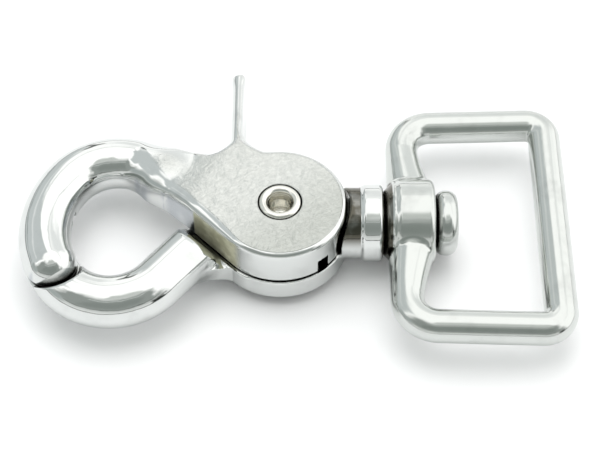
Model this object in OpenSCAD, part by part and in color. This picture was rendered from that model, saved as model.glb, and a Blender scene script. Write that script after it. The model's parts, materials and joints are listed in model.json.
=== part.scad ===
// Swivel scissor snap hook with a square strap eye.
// Origin: at the middle of the eye's far bar, where the strap pulls.
// +X runs along the swivel's axis, away from the hook; +Y towards the thumb lever; +Z up through
// the moving plate. Each piece is drawn about the pivot rivet, then moved to its place by at_pivot.

/* [Hook ring] */
// Half the ring's width across X, on the bar's centre line
ring_half_w = 8.0; // [7.8:0.1:8.4]
// Half the ring's height across Y, on the bar's centre line
ring_half_h = 10.0; // [9.8:0.1:10.6]
// Diameter of the hook's round bar
bar_d = 6.05; // [5.6:0.05:6.4]
// Angle of the moving jaw's tip past the ring's far side
tip_angle = 25; // [18:1:28]

/* [Body] */
// Thickness through both plates
body_t = 8.3; // [8.1:0.1:9]
// Radius of the moving plate's round end
plate_r = 7.75; // [7.6:0.05:7.9]
// Height of the parting plane between the two castings
split_z = -0.7; // [-0.9:0.1:-0.5]
// Reach of the thumb lever from the pivot
lever_reach = 20.3; // [17:0.1:21]
// Width of the thumb lever's upper edge
lever_w = 1.0; // [0.9:0.05:1.3]

/* [Pivot] */
// Radius of the rivet's shank
rivet_r = 1.8; // [1.7:0.05:1.85]
// Diameter of the rivet's rolled head
rivet_head_d = 4.9; // [4.7:0.1:5]
// Diameter of the spring wire
wire_d = 0.8; // [0.7:0.05:0.8]

/* [Swivel] */
// Diameter of the swivel barrel
barrel_d = 9.0; // [8.8:0.1:9.6]
// Radius of the stud's shank
stud_r = 2.6; // [2.3:0.05:2.7]
// Diameter of the stud's head
stud_head_d = 7.6; // [7:0.1:8]

/* [Square eye] */
// Width of strap the eye takes
strap_w = 25.4; // [24:0.1:27]
// Diameter of the eye's round bars
eye_bar_d = 3.85; // [3.6:0.05:4.1]
// Distance between the near and the far bar's centre lines
eye_len = 17.25; // [16.5:0.05:20]
// Diameter of the eye's boss
boss_d = 10.25; // [9.8:0.05:10.8]

/* [Hidden] */
$fn = 96;
top_z = body_t / 2;
bar_r = bar_d / 2;
face_gap = 0.1;
low_top = split_z - face_gap / 2;
high_bottom = split_z + face_gap / 2;

// Ring: four tangent arcs about (ring_x, ring_y)
ring_x = -19.3;
ring_y = -1.1;
end_r = 7.0;
end_off = ring_half_h - end_r;
side_r = (pow(ring_half_w, 2) + pow(end_off, 2) - pow(end_r, 2)) / (2 * (ring_half_w - end_r));
side_x = ring_x + side_r - ring_half_w;
join_a = atan2(end_off, side_r - ring_half_w);
tip_x = side_x - side_r * cos(tip_angle);
tip_y = ring_y - side_r * sin(tip_angle);
low_tip_a = 7;
low_tip_x = side_x - side_r * cos(low_tip_a);
low_tip_y = ring_y + side_r * sin(low_tip_a);
// the lower jaw's root runs straight from its end arc, and leans back from the throat wall's foot
root_a = 320;
root_run = 8.5;
root_x = ring_x + end_r * cos(root_a);
root_y = ring_y - end_off + end_r * sin(root_a);
root_lean = 28;
// the moving jaw's bar thins out along the arm, on the plate's side of the throat wall
arm_root_a = 42;
arm_root_run = 5.2;
arm_root_r = 0.8;
lap_gap = 0.1;
tip_room = 0.45;
tip_flare = 0.8;
// each piece of the bar is a hair slimmer than the one it grows from
step = 0.02;

// Plates and throat wall: the wall is the 45 degree tangent to the round end
fixed_r = plate_r + 0.25;
swing_r = plate_r + 0.3;
wall_gap = 0.3;
edge = 0.8;
wall_sum = plate_r * sqrt(2);
arm_a = 152;
arm_slope = 12;

// Lever and its root fillets
lever_x = -5.17;
lever_foot_w = 1.8;
lever_top = top_z - 0.25;
left_r = 2.9;
left_x = lever_x - lever_w / 2 - left_r;
left_y = plate_r - 0.15 + left_r;
right_r = 4.0;
right_x = lever_x + lever_w / 2 + right_r;
right_y = sqrt(pow(plate_r + right_r, 2) - pow(right_x, 2));

// Rivet and spring
run_gap = 0.05;
sink_d = rivet_head_d + 0.2;
sink_h = 0.8;
tail_d = 5.4;
tail_h = 0.8;
rivet_bore_r = 1.25;
rivet_bore_low = 1.0;
roll_r = (rivet_head_d / 2 - 1.48) / 2;
hub_r = 2.7;
room_r = 5.9;
room_low = -2.4;
room_high = 1.7;
coil_r = 4.5;
coil_low = -1.85;
coil_high = 0.75;
coil_turn = 1100;
top_leg_a = -50;
low_leg_a = top_leg_a + coil_turn;
window_w = 1.5;
window_top = 1.2;

// Swivel
barrel_x = 9.4;
barrel_end = 11.9;
eye_start = barrel_end + 0.05;
boss_x = 13.3;
boss_end = 17.85;
collar_slope = 1.2;
head_start = boss_end + 0.05;
head_end = 20.6;
stud_in = plate_r + 0.95;
stud_bore_r = stud_r + run_gap;

// Eye loop: side bars spread slightly towards the far bar
near_x = 14.45;
far_x = near_x + eye_len;
near_y = (strap_w + eye_bar_d) / 2 - 0.28;
far_y = near_y + 0.35;
near_r = 3.6;
far_r = 2.2;
eye_r = eye_bar_d / 2;
spread_a = atan2(far_y - near_y, eye_len);

// ---------- shared shapes ----------

// Moves a piece drawn about the rivet's axis to where the rivet stands
module at_pivot()
{
    translate([-far_x, 0, 0])
        children();
}

// Round bar bent about (x, y) at radius r, from one angle to another
module bent_bar(x, y, r, from, to, d = bar_d)
{
    translate([x, y, 0])
        rotate_extrude(angle = to - from, start = from)
            translate([r, 0])
                circle(d = d);
}

// Round plate with one rounded edge, its flat face at z = 0
module round_plate(r, h)
{
    rotate_extrude()
        union() {
            square([r, h - edge]);
            square([r - edge, h]);
            translate([r - edge, h - edge])
                circle(r = edge);
        }
}

// Cylinder along X between two stations, with a chamfer at each end
module x_drum(x0, x1, d, c0, c1)
{
    rotate([90, 0, 90])
        rotate_extrude()
            polygon([[0, x0], [d / 2 - c0, x0], [d / 2, x0 + c0], [d / 2, x1 - c1], [d / 2 - c1, x1], [0, x1]]);
}

module x_rod(x0, x1, r)
{
    translate([x0, 0, 0])
        rotate([0, 90, 0])
            cylinder(r = r, h = x1 - x0);
}

// ---------- fixed jaw ----------

// Web from the lower plate out to the jaw's root, inside the throat wall's line
module root_block()
{
    translate([0, 0, -3.3])
        linear_extrude(low_top + 3.3)
            polygon([
                [-2, -2],
                [-10.5, -0.35],
                [-11.9, -2.4],
                [-10.2, -6.6],
                [-8.3, -6.1],
                [-5.4, -5.9],
                [-3.9, -6.9]
            ]);
}

module lower_jaw()
{
    bent_bar(ring_x, ring_y - end_off, end_r, 180 + join_a, root_a);
    bent_bar(side_x, ring_y, side_r, 180 - low_tip_a, 181.5 + join_a, bar_d - 2 * step);
    translate([low_tip_x, low_tip_y, 0])
        rotate([80, 0, 0])
            sphere(r = bar_r - 2 * step);
    difference() {
        translate([root_x, root_y, 0])
            rotate([0, 90, root_a + 90])
                translate([0, 0, -0.2])
                    cylinder(r = bar_r - step, h = root_run);
        rotate(-135)
            translate([plate_r + wall_gap, -20, low_top])
                rotate([0, root_lean, 0])
                    translate([-20, 0, -10])
                        cube([20, 40, 20]);
    }
}

// Room for the moving jaw's lapping tip: everything above the lap, and a hollow that opens
// upwards round the tip's nose
module upper_tip_room()
{
    translate([tip_x, tip_y, -lap_gap / 2])
        cylinder(r1 = bar_r + tip_room, r2 = bar_r + tip_room + 5 * tip_flare, h = 5);
    translate([0, 0, -lap_gap / 2])
        linear_extrude(10)
            polygon([
                [tip_x - 8, tip_y],
                [tip_x + (bar_r + tip_room) * cos(tip_angle), tip_y + (bar_r + tip_room) * sin(tip_angle)],
                [tip_x + 8, tip_y + 14],
                [tip_x - 8, tip_y + 14]
            ]);
}

// Room above the parting plane for the moving plate and its straight throat wall
module plate_room()
{
    translate([0, 0, low_top])
        linear_extrude(12)
            union() {
                circle(r = swing_r);
                rotate(-135)
                    translate([-14, -16])
                        square([14 + plate_r + wall_gap, 16]);
            }
}

module fixed_jaw()
{
    color("Silver")
        at_pivot() difference() {
            union() {
                translate([0, 0, low_top])
                    mirror([0, 0, 1])
                        round_plate(fixed_r, top_z + low_top);
                root_block();
                lower_jaw();
                x_drum(4.5, barrel_x + 0.6, barrel_d - 0.7, 0.2, 0.2);
                x_drum(barrel_x, barrel_end, barrel_d, 0.5, 0.5);
            }
            difference() {
                plate_room();
                translate([barrel_x, -10, -10])
                    cube([20, 20, 20]);
            }
            upper_tip_room();
            translate([0, 0, -10])
                cylinder(r = rivet_r, h = 20);
            translate([0, 0, -top_z - 1])
                cylinder(d = tail_d + 0.2, h = tail_h + 1);
            translate([0, 0, room_low])
                difference() {
                    cylinder(r = room_r, h = 4);
                    translate([0, 0, -1])
                        cylinder(r = hub_r, h = 6);
                }
            rotate(low_leg_a)
                translate([coil_r, 0, room_low - 1.3])
                    cylinder(d = wire_d + 0.1, h = 3);
            x_rod(stud_in, 20, stud_r);
        }
}

// ---------- moving jaw ----------

// Outline of the plate's arm, between the throat wall and the saddle
module arm_outline()
{
    polygon([
        [-wall_sum / 2, -wall_sum / 2],
        [-wall_sum - 4.3, 4.3],
        [-15.0, 8.6],
        [-12.3, 8.95],
        [left_x, left_y - left_r],
        [lever_x, left_y - left_r],
        [0, plate_r - 0.3],
        [2, 0]
    ]);
}

module upper_jaw()
{
    bent_bar(ring_x, ring_y + end_off, end_r, arm_root_a, 180 - join_a);
    translate([ring_x + end_r * cos(arm_root_a), ring_y + end_off + end_r * sin(arm_root_a), 0])
        rotate([0, 90, arm_root_a - 90])
            translate([0, 0, -0.2])
                cylinder(r1 = bar_r - step, r2 = arm_root_r, h = arm_root_run);
    bent_bar(side_x, ring_y, side_r, 178.5 - join_a, 180 + tip_angle, bar_d - 2 * step);
    translate([tip_x, tip_y, 0])
        rotate([80, 0, 0])
            sphere(r = bar_r - 2 * step);
}

// Lower half taken off the lapping tip, back to the fixed tip's nose
module lower_tip_room()
{
    translate([0, 0, -10 + lap_gap / 2])
        linear_extrude(10)
            union() {
                translate([low_tip_x, low_tip_y])
                    circle(r = bar_r + tip_room);
                translate([tip_x - 8, tip_y - 8])
                    square([16, low_tip_y - tip_y + 8]);
            }
}

// Foot of the lever between its two root fillets
module lever_root()
{
    translate([0, 0, high_bottom])
        linear_extrude(lever_top - high_bottom)
            difference() {
                polygon([
                    [left_x, left_y - left_r - 1],
                    [left_x, left_y],
                    [lever_x, left_y + 0.1],
                    [right_x, right_y],
                    [right_x * 0.9, plate_r - 1]
                ]);
                translate([left_x, left_y])
                    circle(r = left_r);
                translate([right_x, right_y])
                    circle(r = right_r);
            }
}

module lever()
{
    translate([lever_x, lever_reach, 0])
        rotate([90, 0, 0])
            linear_extrude(lever_reach - 6.5)
                polygon([
                    [-lever_w / 2, lever_top - 0.35],
                    [-lever_w / 2 + 0.25, lever_top],
                    [lever_w / 2 - 0.25, lever_top],
                    [lever_w / 2, lever_top - 0.35],
                    [lever_foot_w / 2, high_bottom],
                    [-lever_foot_w / 2, high_bottom]
                ]);
    translate([lever_x, lever_reach - 0.3, high_bottom])
        cylinder(r1 = lever_foot_w / 2, r2 = lever_w * 0.66, h = lever_top - high_bottom);
}

// Half space under the plane that slopes from the plate's face down to the bar's top
module arm_slope_cut()
{
    rotate(arm_a)
        translate([9, -15, top_z])
            rotate([0, arm_slope, 0])
                cube([25, 30, 8]);
}

module moving_jaw()
{
    color("Gainsboro")
        at_pivot() difference() {
            union() {
                translate([0, 0, high_bottom])
                    round_plate(plate_r, top_z - high_bottom);
                difference() {
                    translate([0, 0, high_bottom])
                        linear_extrude(top_z - high_bottom)
                            arm_outline();
                    arm_slope_cut();
                    // eased upper edge of the throat wall
                    rotate(-135)
                        translate([plate_r, 0, top_z])
                            rotate([0, 45, 0])
                                cube([1.0, 60, 1.0], center = true);
                }
                lever_root();
                lever();
                upper_jaw();
            }
            lower_tip_room();
            translate([0, 0, -10])
                cylinder(r = rivet_r + run_gap, h = 20);
            translate([0, 0, top_z - sink_h])
                cylinder(d = sink_d, h = 2);
            translate([0, 0, high_bottom - 1])
                difference() {
                    cylinder(r = room_r, h = room_high - high_bottom + 1);
                    translate([0, 0, -1])
                        cylinder(r = hub_r, h = 6);
                }
            rotate(top_leg_a)
                translate([room_r - 0.5, -window_w / 2, high_bottom - 1])
                    cube([4, window_w, window_top - high_bottom + 1]);
        }
}

// ---------- pivot rivet ----------

module pivot_rivet()
{
    seat_z = top_z - sink_h + 0.03;
    color("Silver")
        at_pivot() rotate_extrude()
            difference() {
                union() {
                    translate([0, -top_z + 0.05])
                        square([tail_d / 2, tail_h - 0.05]);
                    translate([0, -top_z + 0.05])
                        square([rivet_r, seat_z + top_z + 0.15]);
                    translate([rivet_head_d / 2 - roll_r, seat_z + roll_r])
                        circle(r = roll_r);
                    translate([1.3, seat_z])
                        square([rivet_head_d / 2 - roll_r - 1.3, roll_r]);
                }
                translate([-1, rivet_bore_low])
                    square([1 + rivet_bore_r, 20]);
                polygon([[0, seat_z - 0.5], [rivet_bore_r, seat_z - 0.5], [1.55, seat_z + roll_r], [1.55, 9], [0, 9]]);
            }
}

// ---------- torsion spring ----------

// Left-hand coil, so that opening the jaw winds it tighter. The path runs up the lower leg,
// round the coil and out along the upper leg, with an eased bend at each end.
coil_steps = 110;
ring_pts = 8;
bend_r = 0.7;
function around(a) = [cos(a), sin(a), 0];
function coil_at(s) =
    coil_r * around(low_leg_a - coil_turn * s) + [0, 0, coil_low + (coil_high - coil_low) * s];
bend_share = bend_r / coil_r * 180 / PI / coil_turn;
low_foot = coil_r * around(low_leg_a);
top_out = around(top_leg_a);
wire_path = concat(
    [low_foot + [0, 0, room_low - 1.2], low_foot + [0, 0, coil_low - bend_r]],
    [for (b = [0.35, 0.75]) coil_at(bend_share * b * b) - [0, 0, bend_r * pow(1 - b, 2)]],
    [for (i = [0 : coil_steps]) coil_at(bend_share + (1 - 2 * bend_share) * i / coil_steps)],
    [for (b = [0.35, 0.75]) coil_at(1 - bend_share * pow(1 - b, 2)) + top_out * bend_r * b * b],
    [coil_at(1) + top_out * bend_r, coil_at(1) + top_out * 2.2]
);
last = len(wire_path) - 1;
function unit(v) = v / norm(v);
function heading(i) = unit(wire_path[min(i + 1, last)] - wire_path[max(i - 1, 0)]);
function side(i) = i < 4 ? around(low_leg_a) : unit(cross([0, 0, 1], heading(i)));

module torsion_spring()
{
    points = [
        for (i = [0 : last]) for (j = [0 : ring_pts - 1])
            let (a = 360 * j / ring_pts, u = side(i), v = unit(cross(heading(i), u)))
            wire_path[i] + wire_d / 2 * (cos(a) * u + sin(a) * v)
    ];
    walls = [
        for (i = [0 : last - 1]) for (j = [0 : ring_pts - 1])
            let (k = (j + 1) % ring_pts, a = i * ring_pts, b = a + ring_pts)
            each [[a + j, b + k, a + k], [a + j, b + j, b + k]]
    ];
    start = [for (j = [0 : ring_pts - 1]) j];
    finish = [for (j = [ring_pts - 1 : -1 : 0]) last * ring_pts + j];
    color("DimGray")
        at_pivot() polyhedron(points, concat(walls, [start, finish]));
}

// ---------- swivel ----------

module swivel_stud()
{
    color("LightGray")
        at_pivot() rotate([90, 0, 90])
            rotate_extrude()
                union() {
                    translate([0, stud_in + 0.1])
                        square([stud_r, head_end - stud_in - 1]);
                    translate([0, head_start])
                        square([stud_head_d / 2, head_end - head_start - 1.3]);
                    translate([0, head_start])
                        square([stud_head_d / 2 - 1.3, head_end - head_start]);
                    translate([stud_head_d / 2 - 1.3, head_end - 1.3])
                        circle(r = 1.3);
                }
}

// One half of the loop, on the +Y side
module half_loop()
{
    far_turn = 90 + spread_a;
    near_turn = 90 - spread_a;
    ny = near_y - near_r;
    fy = far_y - far_r;
    run = sqrt(pow(far_x - far_r - near_x - near_r, 2) + pow(fy + far_r - ny - near_r, 2));
    // near bar, from the axis to the near corner
    translate([near_x, -0.1, 0])
        rotate([-90, 0, 0])
            cylinder(r = eye_r, h = ny + 0.1);
    bent_bar(near_x + near_r, ny, near_r, 90, 180, eye_bar_d);
    side_a = atan2(fy + far_r - ny - near_r, far_x - far_r - near_x - near_r);
    translate([near_x + near_r, ny + near_r, 0])
        rotate([0, 90, side_a])
            cylinder(r = eye_r, h = run);
    bent_bar(far_x - far_r, fy, far_r, 0, 90, eye_bar_d);
    translate([far_x, -0.1, 0])
        rotate([-90, 0, 0])
            cylinder(r = eye_r, h = fy + 0.1);
    // swelling where the near bar leaves the boss
    translate([near_x + 0.55, 3.2, 0])
        rotate([-90, 0, 0])
            cylinder(r1 = 2.7, r2 = eye_r, h = 5.4);
}

module square_eye()
{
    color("Gainsboro")
        at_pivot() difference() {
            union() {
                half_loop();
                mirror([0, 1, 0])
                    half_loop();
                x_drum(eye_start, boss_x + 0.5, boss_d - 0.5, collar_slope, 0.2);
                x_drum(boss_x, boss_end, boss_d, 0.5, 0.5);
            }
            x_rod(eye_start - 1, boss_end + 1, stud_bore_r);
        }
}

fixed_jaw();
moving_jaw();
pivot_rivet();
torsion_spring();
swivel_stud();
square_eye();
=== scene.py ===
import bpy
import json
import math
import numpy as np
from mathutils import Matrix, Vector


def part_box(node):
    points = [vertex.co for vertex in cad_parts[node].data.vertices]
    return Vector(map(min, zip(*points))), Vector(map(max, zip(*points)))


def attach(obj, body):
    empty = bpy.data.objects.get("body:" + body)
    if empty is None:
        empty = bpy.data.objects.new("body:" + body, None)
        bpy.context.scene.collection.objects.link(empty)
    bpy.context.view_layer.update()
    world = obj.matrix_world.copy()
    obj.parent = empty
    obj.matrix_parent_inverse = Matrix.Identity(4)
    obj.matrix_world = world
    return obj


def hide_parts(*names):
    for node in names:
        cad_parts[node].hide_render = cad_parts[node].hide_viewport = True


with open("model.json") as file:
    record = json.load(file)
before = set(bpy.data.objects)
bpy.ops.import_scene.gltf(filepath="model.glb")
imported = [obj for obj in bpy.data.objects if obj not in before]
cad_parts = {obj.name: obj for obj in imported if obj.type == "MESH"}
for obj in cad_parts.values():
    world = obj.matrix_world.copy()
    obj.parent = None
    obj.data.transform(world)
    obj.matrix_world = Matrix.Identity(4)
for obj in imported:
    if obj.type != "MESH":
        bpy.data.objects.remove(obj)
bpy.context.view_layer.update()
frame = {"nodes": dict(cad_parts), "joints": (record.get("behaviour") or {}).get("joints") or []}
MM = 0.001
# where the pivot rivet stands; every shape below is written in millimetres about it
PIVOT = np.array(next(j["pos_m"] for j in frame["joints"] if j["name"] == "jaw_pivot")) / MM


# ---------- solid shapes as distance fields ----------

def rounded_union(a, b, r):
    """Union of two solids with a fillet of radius r along the inner corner."""
    u, v = np.maximum(r - a, 0), np.maximum(r - b, 0)
    return np.maximum(r, np.minimum(a, b)) - np.hypot(u, v)


def rounded_cut(a, b, r):
    """Intersection of two solids with the outer corner rounded to radius r."""
    return -rounded_union(-a, -b, r)


def cut(body, hole):
    """A solid less a hole, with sharp edges."""
    return np.maximum(body, -hole)


def ease(value, start, stop):
    """Smooth step from 0 at start to 1 at stop."""
    t = np.clip((value - start) / (stop - start), 0, 1)
    return t * t * (3 - 2 * t)


def turned(x, y, degrees):
    """Coordinates along a direction in the XY plane and across it, to its left."""
    c, s = math.cos(math.radians(degrees)), math.sin(math.radians(degrees))
    return x * c + y * s, y * c - x * s


def arc(x, y, z, cx, cy, big, start, end):
    """Distance to an arc in the XY plane, angles in degrees, anticlockwise."""
    half = math.radians((end - start) / 2)
    along, across = turned(x - cx, y - cy, (start + end) / 2)
    across = np.abs(across)
    ex, ey = big * math.cos(half), big * math.sin(half)
    on = np.arctan2(across, along) <= half
    flat = np.where(on, np.abs(np.hypot(along, across) - big), np.hypot(along - ex, across - ey))
    return np.hypot(flat, z)


def segment(x, y, z, a, b):
    """Distance to a straight segment in the XY plane."""
    ux, uy = b[0] - a[0], b[1] - a[1]
    t = np.clip(((x - a[0]) * ux + (y - a[1]) * uy) / (ux * ux + uy * uy), 0, 1)
    return np.hypot(np.hypot(x - a[0] - t * ux, y - a[1] - t * uy), z)


def run(x, y, z, start, degrees, length):
    """Distance to a straight run of a given length and heading."""
    a = math.radians(degrees)
    return segment(x, y, z, start, (start[0] + length * math.cos(a), start[1] + length * math.sin(a)))


def outline(x, y, points):
    """Signed distance to a polygon in the XY plane."""
    best = np.inf
    inside = np.zeros(np.broadcast(x, y).shape, bool)
    for (ax, ay), (bx, by) in zip(points, points[1:] + points[:1]):
        ux, uy = bx - ax, by - ay
        t = np.clip(((x - ax) * ux + (y - ay) * uy) / (ux * ux + uy * uy), 0, 1)
        best = np.minimum(best, np.hypot(x - ax - t * ux, y - ay - t * uy))
        if uy != 0:
            inside ^= ((ay > y) != (by > y)) & (x < ux * (y - ay) / uy + ax)
    return np.where(inside, -1, 1) * best


def drum(u, v, w, r, lo, hi, edge):
    """Round drum along w, from lo to hi, with its rims rounded."""
    return rounded_cut(np.hypot(u, v) - r, np.abs(w - (lo + hi) / 2) - (hi - lo) / 2, edge)


# ---------- from distance field to mesh ----------

def net_points(F, inside, origin, h, size):
    """One point in each cell that the surface crosses, and the cells' numbers in the grid."""
    corners = [(i, j, k) for i in (0, 1) for j in (0, 1) for k in (0, 1)]

    def at_corner(A, c):
        return A[c[0]:c[0] + size[0], c[1]:c[1] + size[1], c[2]:c[2] + size[2]]

    count = sum(at_corner(inside, c).astype(np.int8) for c in corners)
    cells = np.argwhere((count > 0) & (count < len(corners)))
    number = np.full(size, -1, np.int64)
    number[tuple(cells.T)] = np.arange(len(cells))
    value = [F[tuple((cells + c).T)] for c in corners]
    total, hits = np.zeros((len(cells), 3)), np.zeros(len(cells))
    for a in range(len(corners)):
        for b in range(a + 1, len(corners)):
            step = np.array(corners[b]) - np.array(corners[a])
            if np.abs(step).sum() != 1:
                continue
            cross = (value[a] < 0) != (value[b] < 0)
            t = np.where(cross, value[a] / np.where(cross, value[a] - value[b], 1), 0)
            total += np.where(cross[:, None], np.array(corners[a]) + t[:, None] * step, 0)
            hits += cross
    return origin + (cells + total / hits[:, None]) * h, number


def net_quads(inside, number, size):
    """A quad across each grid edge that crosses the surface, facing outwards."""
    quads = []
    for axis in range(3):
        near, far = [slice(None)] * 3, [slice(None)] * 3
        near[axis], far[axis] = slice(0, -1), slice(1, None)
        edge = np.argwhere(inside[tuple(near)] != inside[tuple(far)])
        edge = edge[np.all((edge > 0) & (edge < np.array(size)), axis=1)]
        e1, e2 = np.eye(3, dtype=int)[[(axis + 1) % 3, (axis + 2) % 3]]
        quad = np.stack([number[tuple((edge - s).T)] for s in (e1 + e2, e2, 0 * e1, e1)], 1)
        flip = ~inside[tuple(edge.T)]
        quad[flip] = quad[flip][:, ::-1]
        quads.append(quad)
    quads = np.concatenate(quads)
    return quads[np.all(quads >= 0, axis=1)]


def settled(field, points, h):
    """Points moved onto the field's true surface, with the true normals there."""
    def at(p):
        return field(p[:, 0], p[:, 1], p[:, 2])

    def slope(p, e):
        return np.stack([at(p + e * d) - at(p - e * d) for d in np.eye(3)], 1) / (2 * e)

    for _ in range(3):
        g = slope(points, 0.02)
        move = -(at(points) / np.maximum((g * g).sum(1), 0.25))[:, None] * g
        points = points + np.clip(move, -0.5 * h, 0.5 * h)
    normals = slope(points, 0.03)
    return points, normals / np.maximum(np.linalg.norm(normals, axis=1), 1e-9)[:, None]


def mesh_of(name, field, box, h):
    """A smooth object of the solid field < 0, meshed on a grid of spacing h."""
    axes = [np.arange(lo - 2 * h, hi + 3 * h, h) for lo, hi in zip(*box)]
    F = field(axes[0][:, None, None], axes[1][None, :, None], axes[2][None, None, :]).astype(np.float32)
    size = [n - 1 for n in F.shape]
    points, number = net_points(F, F < 0, np.array([a[0] for a in axes]), h, size)
    quads = net_quads(F < 0, number, size)
    points, normals = settled(field, points, h)
    mesh = bpy.data.meshes.new(name)
    mesh.from_pydata(((points + PIVOT) * MM).tolist(), [], quads.tolist())
    mesh.polygons.foreach_set("use_smooth", np.ones(len(quads), bool))
    mesh.update()
    mesh.normals_split_custom_set_from_vertices(normals.tolist())
    obj = bpy.data.objects.new(name, mesh)
    bpy.context.scene.collection.objects.link(obj)
    return obj


# ---------- sizes, driven by the CAD nodes' boxes ----------

def span(node):
    """A CAD node's box in millimetres about the pivot."""
    lo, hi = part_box(node)
    return np.array(lo) / MM - PIVOT, np.array(hi) / MM - PIVOT


jaw_box, fix_box, eye_box = span("moving_jaw"), span("fixed_jaw"), span("square_eye")
stud_box, rivet_box = span("swivel_stud"), span("pivot_rivet")

# heights: the two castings part just above and just below SPLIT
TOP = jaw_box[1][2]
BOTTOM = -TOP
SPLIT = -0.7
HIGH_BOTTOM, LOW_TOP = SPLIT + 0.05, SPLIT - 0.05

# the ring's bar runs along four tangent arcs: two ends and two sides
BAR_R = 3.025
HALF_W, HALF_H = 8.0, 10.0
END_R, SIDE_R = 7.0, 12.0
END_OFF = HALF_H - END_R
RING_X, RING_Y = -19.3, fix_box[0][1] + BAR_R + HALF_H
SIDE_X = RING_X + SIDE_R - HALF_W
JOIN_A = math.degrees(math.atan2(END_OFF, SIDE_R - HALF_W))
TIP_A, LOW_TIP_A, TIP_REACH = 25, 7, 8
ARM_A, ARM_RUN, ARM_THIN_R = 42, 5, 0.8
ROOT_A, ROOT_RUN, ROOT_LEAN = 320, 11, math.radians(28)

# plates, and the throat wall: the 45 degree tangent to the moving plate
PLATE_R, FIXED_R, SWING_R = 7.75, 8.0, 8.05
WALL_A, WALL_GAP, WALL_RUN = -135, 0.3, 16
WALL = PLATE_R * math.sqrt(2)
# nearer the rivet than CLEAR_R, nothing of the moving jaw hangs below the parting plane
CLEAR_R = 9.5
WEB_BOTTOM = -3.3

# the deck slopes down along the arm from FALL_FROM outwards, past a rounded crease
ARM_HEADING, FALL_FROM, FALL_A, CREASE = 152, 9.3, 12.5, 2.2
LEVER_X, LEVER_TOP, LEVER_ROOT = -5.17, jaw_box[1][1], 6.5
LEVER_HALF, LEVER_FLARE, LEVER_BEAD = 0.56, 0.4, 0.12

# rivet, its bores and counterbores, and the spring's room round it
RIVET_R, BORE_R = 1.8, 1.85
SINK_R, TAIL_SINK_R, SINK_H = 2.55, 2.8, 0.8
HUB_R, ROOM_R = 2.7, 5.9
ROOM_TOP, ROOM_BOTTOM, ROOM_OPEN = 1.7, -2.4, 3
WINDOW_A, WINDOW_FROM, WINDOW_HALF = -50, 5.4, 0.75
WINDOW_TOP, WINDOW_BOTTOM = 1.2, -2
HEAD_H, ROLL_X, ROLL_R = 0.97, 1.965, 0.485
TAIL_R, TAIL_H, RIVET_HOLE_R = 2.7, 0.75, 1.25

# swivel, along X
NECK_X, NECK_END, NECK_R = 4.8, 10.0, 4.15
BARREL_X, BARREL_R = 9.4, 4.5
COLLAR_R, COLLAR_SLOPE, COLLAR_LEN = 3.675, 1.2, 2.0
BOSS_X, BOSS_END = 13.3, 17.85
STUD_R, STUD_BORE_X, SHANK_END, EYE_BORE_END = 2.6, 8.7, 18.2, 20

# the square eye's bars, and the near bar's swelling towards the boss
EYE_BAR_R = 1.925
FAR_X = -PIVOT[0]
NEAR_X = FAR_X - 17.25
NEAR_Y, NEAR_CORNER = 14.345, 3.6
FAR_Y, FAR_CORNER = NEAR_Y + 0.35, 2.2
SWELL_Y, SWELL_RUN, SWELL = 4.5, 6.2, 0.76


def on_side(degrees):
    """Point on the ring's far side, past its middle towards the lower jaw."""
    a = math.radians(degrees)
    return SIDE_X - SIDE_R * math.cos(a), RING_Y - SIDE_R * math.sin(a)


def on_end(cy, degrees):
    """Point on the end arc whose centre stands at cy."""
    a = math.radians(degrees)
    return RING_X + END_R * math.cos(a), cy + END_R * math.sin(a)


TIP, LOW_TIP = on_side(TIP_A), on_side(-LOW_TIP_A)


def wall_side(x, y):
    """Distance past the throat wall, negative on the plate's side."""
    return turned(x, y, WALL_A)[0] - PLATE_R


def along_wall(x, y):
    """Distance along the throat wall, towards the arm."""
    return -turned(x, y, WALL_A)[1]


def spring_ring(x, y):
    """Ring round the rivet that holds the coil."""
    rho = np.hypot(x, y)
    return np.maximum(rho - ROOM_R, HUB_R - rho)


# ---------- moving jaw ----------

# the arm's outline, narrowing to the bar's crest where it runs into the ring
ARM = [
    (-WALL / 2, -WALL / 2),
    (-WALL - 2.45, 2.45),
    (-16.4, 6.9),
    (-15.9, 8.4),
    (-12.3, 8.9),
    (-8.3, 7.6),
    (-4.9, 7.6),
    (0, 7.45),
    (2, 0),
]


def upper_bar(x, y, z):
    """The ring's upper half, which thins out along the arm."""
    cy = RING_Y + END_OFF
    end = arc(x, y, z, RING_X, cy, END_R, ARM_A, 180 - JOIN_A)
    side = arc(x, y, z, SIDE_X, RING_Y, SIDE_R, 180 - JOIN_A, 180 + TIP_A)
    start, heading = on_end(cy, ARM_A), ARM_A - 90
    along = turned(x - start[0], y - start[1], heading)[0]
    thin = run(x, y, z, start, heading, ARM_RUN) - BAR_R + (BAR_R - ARM_THIN_R) * ease(along, 0, ARM_RUN)
    return np.minimum(np.minimum(end, side) - BAR_R, thin)


def lever(x, y, z):
    """Thin thumb blade, wider towards its underside and at its tip."""
    flare = LEVER_FLARE * (TOP - 0.25 - z) / (TOP - SPLIT)
    bead = LEVER_BEAD * np.exp(-((y - LEVER_TOP + 0.9) / 0.9) ** 2)
    blade = np.abs(x - LEVER_X) - LEVER_HALF - flare - bead
    return np.maximum(rounded_cut(blade, y - LEVER_TOP, 0.5), LEVER_ROOT - y)


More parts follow.
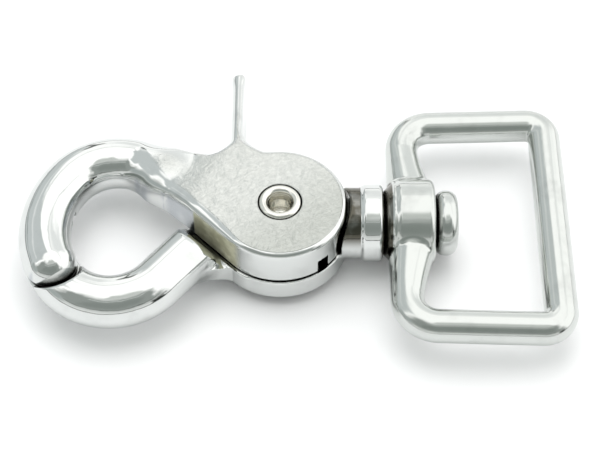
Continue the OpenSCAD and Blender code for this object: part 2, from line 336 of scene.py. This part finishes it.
def deck(x, y, z):
    """Round plate, arm and lever, with a face that slopes down along the arm."""
    flat = np.minimum(np.hypot(x, y) - PLATE_R, outline(x, y, ARM))
    blade = lever(x, y, z)
    flat = np.where(x < LEVER_X, rounded_union(flat, blade, 2.9), rounded_union(flat, blade, 4.0))
    out = (turned(x, y, ARM_HEADING)[0] - FALL_FROM) * CREASE
    arm_down = np.logaddexp(0, out) / CREASE * math.tan(math.radians(FALL_A))
    lever_down = 0.25 * ease(y, 8, 10)
    broad = ease(along_wall(x, y), -2, 5) * ease(wall_side(x, y), -6, 0)
    shape = rounded_cut(flat, z - TOP + arm_down + lever_down, 0.75 + 0.75 * broad)
    return rounded_cut(shape, HIGH_BOTTOM - z, 0.1)


def low_tip_room(x, y, z):
    """What the lapping tip leaves free for the fixed jaw's tip below it."""
    nose = np.hypot(x - LOW_TIP[0], y - LOW_TIP[1]) - BAR_R - 0.45
    beside = np.maximum(y - LOW_TIP[1], TIP[1] - TIP_REACH - y)
    block = np.maximum(np.abs(x - TIP[0]) - TIP_REACH, beside)
    return np.maximum(np.minimum(nose, block), z - 0.05)


def moving_field(x, y, z):
    d = rounded_union(deck(x, y, z), upper_bar(x, y, z), 2.4)
    rho = np.hypot(x, y)
    d = np.maximum(d, np.minimum(HIGH_BOTTOM - z, CLEAR_R - rho))
    d = rounded_cut(d, -low_tip_room(x, y, z), 0.25)
    d = cut(d, rho - BORE_R)
    d = rounded_cut(d, -np.maximum(rho - SINK_R, TOP - SINK_H - z), 0.12)
    d = cut(d, np.maximum(spring_ring(x, y), z - ROOM_TOP))
    out, off = turned(x, y, WINDOW_A)
    sides = np.maximum(np.abs(off) - WINDOW_HALF, WINDOW_FROM - out)
    return cut(d, np.maximum(sides, np.maximum(z - WINDOW_TOP, WINDOW_BOTTOM - z)))


# ---------- fixed jaw ----------

# the web between the lower plate and the jaw's root
WEB = [
    (-2, -2),
    (-10.5, -0.35),
    (-11.9, -2.4),
    (-10.2, -6.6),
    (-8.3, -6.1),
    (-5.4, -5.9),
    (-3.9, -6.9),
]


def lower_bar(x, y, z):
    """The ring's lower half, whose root leans back from the throat wall's foot."""
    cy = RING_Y - END_OFF
    end = arc(x, y, z, RING_X, cy, END_R, 180 + JOIN_A, ROOT_A)
    side = arc(x, y, z, SIDE_X, RING_Y, SIDE_R, 180 - LOW_TIP_A, 180 + JOIN_A)
    root = run(x, y, z, on_end(cy, ROOT_A), ROOT_A + 90, ROOT_RUN) - BAR_R
    face = math.sin(ROOT_LEAN) * (z - LOW_TOP) - math.cos(ROOT_LEAN) * (wall_side(x, y) - WALL_GAP)
    return np.minimum(np.minimum(end, side) - BAR_R, rounded_cut(root, face, 0.7))


def plate_room(x, y, z):
    """Room above the parting plane for the moving plate and its throat wall."""
    along = along_wall(x, y)
    beside = np.maximum(wall_side(x, y) - WALL_GAP, np.maximum(-along, along - WALL_RUN))
    room = np.minimum(np.hypot(x, y) - SWING_R, beside)
    return np.maximum(np.maximum(room, LOW_TOP - z), x - BARREL_X)


def high_tip_room(x, y, z):
    """Room for the lapping tip above, opening upwards round its nose."""
    nose = (np.hypot(x - TIP[0], y - TIP[1]) - BAR_R - 0.24 - 0.5 * np.maximum(z, 0)) * 0.89
    behind = TIP[1] + (x - TIP[0]) * math.tan(math.radians(TIP_A)) - y
    room = np.minimum(nose, np.maximum(np.abs(x - TIP[0]) - TIP_REACH, behind))
    return np.maximum(room, -0.05 - z)


def fixed_field(x, y, z):
    rho, off_axis = np.hypot(x, y), np.hypot(y, z)
    plate = np.maximum(rounded_cut(rho - FIXED_R, BOTTOM - z, 0.8), z - LOW_TOP)
    web = np.maximum(rounded_cut(outline(x, y, WEB), WEB_BOTTOM - z, 0.5), z - LOW_TOP)
    neck = np.maximum(off_axis - NECK_R, np.maximum(NECK_X - x, x - NECK_END))
    body = rounded_union(rounded_union(plate, web, 0.8), neck, 0.4)
    body = rounded_union(body, lower_bar(x, y, z), 1.2)
    body = rounded_union(body, drum(y, z, x, BARREL_R, BARREL_X, fix_box[1][0], 0.5), 0.25)
    body = rounded_cut(body, -plate_room(x, y, z), 0.3)
    body = rounded_cut(body, -high_tip_room(x, y, z), 0.25)
    body = cut(body, rho - RIVET_R)
    body = cut(body, np.maximum(rho - TAIL_SINK_R, z - BOTTOM - SINK_H))
    body = cut(body, np.maximum(spring_ring(x, y), np.maximum(ROOM_BOTTOM - z, z - ROOM_OPEN)))
    return cut(body, np.maximum(off_axis - STUD_R, STUD_BORE_X - x))


# ---------- eye, stud and rivet ----------

def eye_bars(x, y, z):
    """The loop's round bars, on the side where y is positive."""
    near_y, far_y = NEAR_Y - NEAR_CORNER, FAR_Y - FAR_CORNER
    axis = segment(x, y, z, (NEAR_X, 0), (NEAR_X, near_y))
    for piece in (
        arc(x, y, z, NEAR_X + NEAR_CORNER, near_y, NEAR_CORNER, 90, 180),
        segment(x, y, z, (NEAR_X + NEAR_CORNER, NEAR_Y), (FAR_X - FAR_CORNER, FAR_Y)),
        arc(x, y, z, FAR_X - FAR_CORNER, far_y, FAR_CORNER, 0, 90),
        segment(x, y, z, (FAR_X, 0), (FAR_X, far_y)),
    ):
        axis = np.minimum(axis, piece)
    return axis - EYE_BAR_R


def eye_swelling(x, y, z):
    """The near bar's swelling towards the boss, which dies away into the bar."""
    t = np.clip((y - SWELL_Y) / SWELL_RUN, 0, 1)
    grow = SWELL * (1 - t) ** 1.4 - 0.02
    return np.maximum(np.hypot(x - NEAR_X - grow, z) - EYE_BAR_R - grow, y - NEAR_Y + NEAR_CORNER)


def eye_field(x, y, z):
    side, off_axis = np.abs(y), np.hypot(y, z)
    start = eye_box[0][0]
    bars = np.minimum(eye_bars(x, side, z), eye_swelling(x, side, z))
    cone = (off_axis - COLLAR_R - np.clip(x - start, 0, COLLAR_SLOPE)) * 0.71
    collar = rounded_cut(cone, np.abs(x - start - COLLAR_LEN / 2) - COLLAR_LEN / 2, 0.12)
    d = rounded_union(bars, drum(y, z, x, eye_box[1][2], BOSS_X, BOSS_END, 0.7), 0.45)
    d = rounded_union(d, collar, 0.15)
    return cut(d, np.maximum(off_axis - STUD_R - 0.05, x - EYE_BORE_END))


def stud_field(x, y, z):
    head = drum(y, z, x, stud_box[1][2], BOSS_END + 0.05, stud_box[1][0], 1.25)
    shank = np.maximum(np.hypot(y, z) - STUD_R, np.maximum(stud_box[0][0] - x, x - SHANK_END))
    return rounded_union(head, shank, 0.1)


def rivet_field(x, y, z):
    rho = np.hypot(x, y)
    low, seat = rivet_box[0][2], rivet_box[1][2] - HEAD_H
    roll = np.hypot(rho - ROLL_X, z - seat - ROLL_R) - ROLL_R
    under = np.maximum(np.abs(rho - 1.7) - 0.3, np.abs(z - seat - 0.24) - 0.24)
    shank = np.maximum(rho - RIVET_R, np.maximum(z - seat - 0.15, low - z))
    tail = np.maximum(rho - TAIL_R, np.maximum(low - z, z - low - TAIL_H))
    mouth = 0.2 * np.clip(z - seat + 0.5, 0, 1)
    hole = rounded_cut(rho - RIVET_HOLE_R - mouth, 1.0 - z, 0.5)
    return cut(np.minimum(np.minimum(roll, under), np.minimum(shank, tail)), hole)


# ---------- materials ----------

CHROME = (0.74, 0.755, 0.745)
EYE_CHROME = (0.66, 0.68, 0.66)
# colour of the painted shade laid into narrow gaps and crevices
GAP_SHADE = (0.030, 0.030, 0.024)


class Nodes:
    """A node tree, with short ways to add and join nodes."""

    def __init__(self, tree, coordinates):
        self.nodes, self.links = tree.nodes, tree.links
        self.where = self.nodes.new("ShaderNodeTexCoord").outputs[coordinates]
        self.x, self.y, self.z = self.split(self.where)

    def put(self, target, value):
        if isinstance(value, bpy.types.NodeSocket):
            self.links.new(value, target)
        elif isinstance(value, tuple):
            target.default_value = (*value, 1)
        else:
            target.default_value = value

    def split(self, vector):
        node = self.nodes.new("ShaderNodeSeparateXYZ")
        self.put(node.inputs[0], vector)
        return node.outputs

    def calc(self, kind, *values):
        node = self.nodes.new("ShaderNodeMath")
        node.operation = kind
        for target, value in zip(node.inputs, values):
            self.put(target, value)
        return node.outputs[0]

    def product(self, first, *others):
        for other in others:
            first = self.calc("MULTIPLY", first, other)
        return first

    def fade(self, value, start, stop, low=0.0, high=1.0):
        """Smooth step from low to high as the value goes from start to stop."""
        node = self.nodes.new("ShaderNodeMapRange")
        node.interpolation_type = "SMOOTHSTEP"
        settings = {"Value": value, "From Min": start, "From Max": stop, "To Min": low, "To Max": high}
        for label, v in settings.items():
            self.put(node.inputs[label], v)
        return node.outputs[0]

    def noise(self, scale, detail=4, distortion=0.0, rough=0.5):
        node = self.nodes.new("ShaderNodeTexNoise")
        settings = {"Scale": scale, "Detail": detail, "Distortion": distortion, "Roughness": rough}
        settings["Vector"] = self.where
        for label, v in settings.items():
            self.put(node.inputs[label], v)
        return node.outputs["Fac"]

    def mix(self, kind, places, values):
        node = self.nodes.new("ShaderNodeMix")
        node.data_type = kind
        for place, v in zip(places, values):
            self.put(node.inputs[place], v)
        return node.outputs[2 if kind == "RGBA" else 0]

    def blend(self, share, first, second):
        """Blend of two colours."""
        return self.mix("RGBA", (0, 6, 7), (share, first, second))

    def blend_value(self, share, first, second):
        return self.mix("FLOAT", (0, 2, 3), (share, first, second))


class Metal(Nodes):
    """A Principled metal."""

    def __init__(self, name):
        self.data = bpy.data.materials.new(name)
        self.data.use_nodes = True
        super().__init__(self.data.node_tree, "Object")

    def bump(self, height, depth, below=None):
        """Relief of the given depth in metres."""
        node = self.nodes.new("ShaderNodeBump")
        node.inputs["Strength"].default_value = 1
        node.inputs["Distance"].default_value = depth
        self.put(node.inputs["Height"], height)
        if below is not None:
            self.put(node.inputs["Normal"], below)
        return node.outputs["Normal"]

    def gap_shaded(self, colour, reach=0.0024, low=0.15, high=0.75):
        """Painted shade: darkens the colour deep in gaps narrower than the reach, in metres, where shade
        falls.
        """
        node = self.nodes.new("ShaderNodeAmbientOcclusion")
        node.samples = 6
        node.inputs["Distance"].default_value = reach
        return self.blend(self.fade(node.outputs["AO"], low, high), GAP_SHADE, colour)

    def finish(self, colour, rough, normal, metallic=1.0):
        settings = {"Base Color": colour, "Roughness": rough, "Normal": normal, "Metallic": metallic}
        for label, v in settings.items():
            self.put(self.nodes["Principled BSDF"].inputs[label], v)
        return self.data


def cast_plating(name, base, haze=0.0):
    """Bright plating over a cast surface that is never quite even: its colour, roughness and relief."""
    m = Metal(name)
    waves = m.bump(m.noise(260, 2), 0.00004)
    grain = m.bump(m.noise(1500, 5, 0.6), 0.0000016, waves)
    rough = m.fade(m.noise(500, 3), 0.4, 0.75, 0.035 + haze, 0.10 + haze)
    colour = m.blend(m.fade(m.noise(330, 5), 0.5, 0.8), base, tuple(0.88 * c for c in base))
    return m, colour, rough, grain


def groove_shaded_chrome(name, base, start, stop, above, haze=0.0):
    """Plating with painted shade in a groove round the swivel's axis.

    The groove runs from start to stop, in millimetres from the pivot, and its painted shade lies above the
    given height.
    """
    m, colour, rough, grain = cast_plating(name, base, haze)
    first, last = (PIVOT[0] + start) * MM, (PIVOT[0] + stop) * MM
    off_axis = m.calc("SQRT", m.calc("ADD", m.calc("POWER", m.y, 2), m.calc("POWER", m.z, 2)))
    # share of painted shade in the groove, varied a little by noise
    dark = m.product(
        m.fade(m.x, first - 0.3 * MM, first),
        m.fade(m.x, last, last - 0.1 * MM),
        m.fade(off_axis, 5.2 * MM, 4.95 * MM),
        m.fade(m.z, above * MM, (above + 2) * MM),
        m.fade(m.noise(420, 4), 0.3, 0.5, 0.75, 1.0),
    )
    # the groove's dark olive-grey is painted shade, laid over the painted gap shade
    return m.finish(m.blend(dark, m.gap_shaded(colour), (0.11, 0.105, 0.085)), rough, grain)


def pitted_chrome(name, base):
    """The moving jaw: its flat face is pitted and worn; its throat wall is rougher, stained, and greyer
    with painted shade.
    """
    m, colour, rough, grain = cast_plating(name, base)
    facing = m.split(m.nodes.new("ShaderNodeTexCoord").outputs["Normal"])
    face = m.product(m.fade(facing[2], 0.955, 0.985), m.fade(m.z, 3.4 * MM, 3.7 * MM))
    relief = m.bump(m.product(m.noise(700, 7, 1.8, 0.58), face), 0.00012, grain)
    spots = m.fade(m.noise(1400, 7, 1.2, 0.65), 0.35, 0.7)
    speckle = m.blend(spots, (0.50, 0.515, 0.485), (0.64, 0.655, 0.625))
    # the face is brighter on the arm than round the plate's end
    across = m.calc("SUBTRACT", m.x, m.calc("MULTIPLY", m.y, 1.3))
    end_share = m.fade(across, (PIVOT[0] - 6) * MM, (PIVOT[0] + 9) * MM)
    worn = m.blend(0.6, speckle, m.blend(end_share, (0.69, 0.70, 0.68), (0.47, 0.485, 0.455)))
    wall = m.product(m.fade(facing[0], -0.55, -0.69), m.fade(facing[1], -0.55, -0.69))
    # the throat wall's bluish grey is painted shade, standing for the shaded table that it reflects
    colour_with_wall_shade = m.blend(wall, m.blend(face, colour, worn), (0.55, 0.575, 0.60))
    # the olive stain covers the part of the wall that faces the jaw's root; its sharp start along x is a
    # painted shadow edge
    from_x, to_x = (PIVOT[0] - 10.1) * MM, (PIVOT[0] - 2) * MM
    stain_and_shadow_edge = m.product(wall, m.fade(m.x, from_x, from_x + 0.3 * MM), m.fade(m.x, to_x, to_x - MM))
    dirt = m.blend(m.fade(m.noise(900, 5), 0.4, 0.65), (0.50, 0.485, 0.34), (0.66, 0.645, 0.48))
    duller = m.blend_value(m.calc("MAXIMUM", face, wall), rough, 0.24)
    return m.finish(
        m.blend(stain_and_shadow_edge, m.gap_shaded(colour_with_wall_shade), dirt),
        m.blend_value(stain_and_shadow_edge, duller, 0.5),
        relief,
        m.blend_value(stain_and_shadow_edge, 1.0, 0.25),
    )


def plain_metal(name, colour, rough, spread, depth):
    """Worn metal with an even fine grain."""
    m = Metal(name)
    grain = m.noise(900, 6)
    # painted shade deep in narrow gaps
    dark = m.gap_shaded(colour, 0.0012, 0.1, 0.7)
    return m.finish(dark, m.fade(grain, 0.3, 0.7, rough, rough + spread), m.bump(grain, depth))


# ---------- the pieces ----------

def dress(piece, material):
    piece.data.materials.clear()
    piece.data.materials.append(material)


def build_pieces():
    """Smooth castings in place of five CAD nodes, and a finish for the spring, which keeps its CAD mesh."""
    coarse = 0.14
    fine = 0.07
    jaw_finish = pitted_chrome("chrome_pitted", CHROME)
    body_finish = groove_shaded_chrome("chrome", CHROME, 6.3, 9.35, above=0.2)
    eye_finish = groove_shaded_chrome("chrome_eye", EYE_CHROME, 11.9, 13.0, above=-20, haze=0.09)
    rivet_finish = plain_metal("rivet_plate", (0.80, 0.79, 0.74), 0.10, 0.12, 0.000006)
    wire_finish = plain_metal("spring_wire", (0.35, 0.35, 0.36), 0.3, 0.15, 0.00001)
    for name, field, box, h, node, body, slot, material in (
        ("jaw_casting", moving_field, jaw_box, coarse, "moving_jaw", "jaw", "jaw_chrome", jaw_finish),
        ("body_casting", fixed_field, fix_box, coarse, "fixed_jaw", "body", "body_chrome", body_finish),
        ("eye_casting", eye_field, eye_box, coarse, "square_eye", "eye", "eye_chrome", eye_finish),
        ("stud", stud_field, stud_box, coarse, "swivel_stud", "body", "stud_chrome", eye_finish),
        ("rivet", rivet_field, rivet_box, fine, "pivot_rivet", "body", "rivet_steel", rivet_finish),
    ):
        piece = mesh_of(name, field, box, h)
        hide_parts(node)
        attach(piece, body)
        dress(piece, material)
    dress(frame["nodes"]["torsion_spring"], wire_finish)


# ---------- floor, light and camera ----------

FLOOR_GAP = 0.1
WHITE = (1.42, 1.42, 1.40)
# what stands round the table: centre and half width in degrees round Z from +X, then from and to in
# degrees above the table, softness, colour
PANELS = (
    # in front: a pale band, a grey room with a darker middle, a dark rail and two pale patches above
    (-95, 78, -2, 14, 6, (0.88, 0.90, 0.88)),
    (-95, 66, 13, 66, 9, (0.36, 0.39, 0.37)),
    (-88, 34, 26, 50, 8, (0.29, 0.32, 0.30)),
    (-92, 55, 17, 19, 1.5, (0.10, 0.11, 0.10)),
    (-80, 50, 55, 57, 2, (0.75, 0.78, 0.75)),
    (-70, 42, 64, 80, 6, (0.70, 0.73, 0.70)),
    # duller screens to the left, with a bright seam and a dark one
    (-172, 24, 4, 24, 6, (0.46, 0.50, 0.49)),
    (146, 36, -4, 60, 5, (0.68, 0.72, 0.72)),
    (140, 30, 30, 33, 3, (1.00, 1.02, 1.01)),
    (150, 26, 8, 10, 2, (0.30, 0.33, 0.32)),
    # screen behind, its seam and its post
    (72, 26, 8, 44, 9, (1.00, 1.02, 1.01)),
    (60, 60, 46, 47, 1.5, (0.60, 0.63, 0.61)),
    (106, 2.5, -8, 26, 2, (0.12, 0.13, 0.12)),
    # dark corner to the right in front, and the dark line where the table ends
    (-36, 11, -3, 13, 4, (0.05, 0.055, 0.05)),
    (0, 200, -3.0, 2.0, 1.5, (0.08, 0.09, 0.08)),
)
# a panel that ends below this height keeps its edges level
LOW_PANEL = 5
WANDER = 48


def studio():
    """A white surround with panels whose edges wander a little, as uneven reflections do."""
    world = bpy.data.worlds.new("studio")
    world.use_nodes = True
    bpy.context.scene.world = world
    w = Nodes(world.node_tree, "Generated")
    wander = w.calc("MULTIPLY", w.calc("SUBTRACT", w.noise(2.6, 5, rough=0.62), 0.5), WANDER)
    turn = w.calc("MULTIPLY", w.calc("ARCTAN2", w.y, w.x), 180 / math.pi)
    rise = w.calc("MULTIPLY", w.calc("ARCSINE", w.z), 180 / math.pi)
    rise_bent = w.calc("ADD", rise, w.calc("MULTIPLY", wander, 0.4))
    turn_bent = w.calc("ADD", turn, wander)
    colour = WHITE
    for centre, half, low, high, soft, tone in PANELS:
        off = w.calc("ABSOLUTE", w.calc("WRAP", w.calc("SUBTRACT", turn_bent, centre), 180, -180))
        level = rise if high < LOW_PANEL else rise_bent
        share = w.product(
            w.fade(off, half + soft, half - soft),
            w.fade(level, low - soft, low + soft),
            w.fade(level, high + soft, high - soft),
        )
        colour = w.blend(share, colour, tone)
    w.put(w.nodes["Background"].inputs["Color"], colour)


def pale_floor(level):
    """A white table, which the camera sees a little brighter than the object's reflections do."""
    half, lift = 3.0, 0.08
    mesh = bpy.data.meshes.new("floor")
    corners = [(-half, -half, 0), (half, -half, 0), (half, half, 0), (-half, half, 0)]
    mesh.from_pydata(corners, [], [(0, 1, 2, 3)])
    floor = bpy.data.objects.new("floor", mesh)
    bpy.context.scene.collection.objects.link(floor)
    floor.location.z = level
    white = bpy.data.materials.new("floor_white")
    white.use_nodes = True
    n = Nodes(white.node_tree, "Object")
    seen = n.nodes.new("ShaderNodeLightPath").outputs["Is Camera Ray"]
    settings = {"Base Color": (0.93, 0.93, 0.94), "Roughness": 0.6, "Emission Color": (1.0, 1.0, 1.0)}
    settings["Emission Strength"] = n.calc("MULTIPLY", seen, lift)
    for label, v in settings.items():
        n.put(n.nodes["Principled BSDF"].inputs[label], v)
    mesh.materials.append(white)


def aimed(name, data, place, target):
    """An object at place that looks at target."""
    obj = bpy.data.objects.new(name, data)
    bpy.context.scene.collection.objects.link(obj)
    obj.location = place
    obj.rotation_euler = (Vector(target) - Vector(place)).to_track_quat("-Z", "Y").to_euler()
    return obj


def key_light():
    """A soft square lamp overhead, left out of reflections."""
    data = bpy.data.lights.new("key", "AREA")
    data.shape = "SQUARE"
    data.size = 0.5
    data.energy = 1.2
    lamp = aimed("key", data, (-0.08, 0.16, 0.5), (-0.03, 0, 0))
    lamp.visible_glossy = False


def camera():
    """Looks down at the pivot from the front."""
    elevation, distance = math.radians(53.4), 0.2106
    data = bpy.data.cameras.new("camera")
    data.lens, data.sensor_width = 108.5, 36
    data.clip_start, data.clip_end = 0.01, 20
    target = Vector((PIVOT + np.array((2.3, -0.2, 0))) * MM)
    place = target + distance * Vector((0, -math.cos(elevation), math.sin(elevation)))
    bpy.context.scene.camera = aimed("camera", data, place, target)


build_pieces()
pale_floor((eye_box[0][2] - FLOOR_GAP) * MM)
studio()
key_light()
camera()
bpy.context.scene.view_settings.view_transform = "Standard"
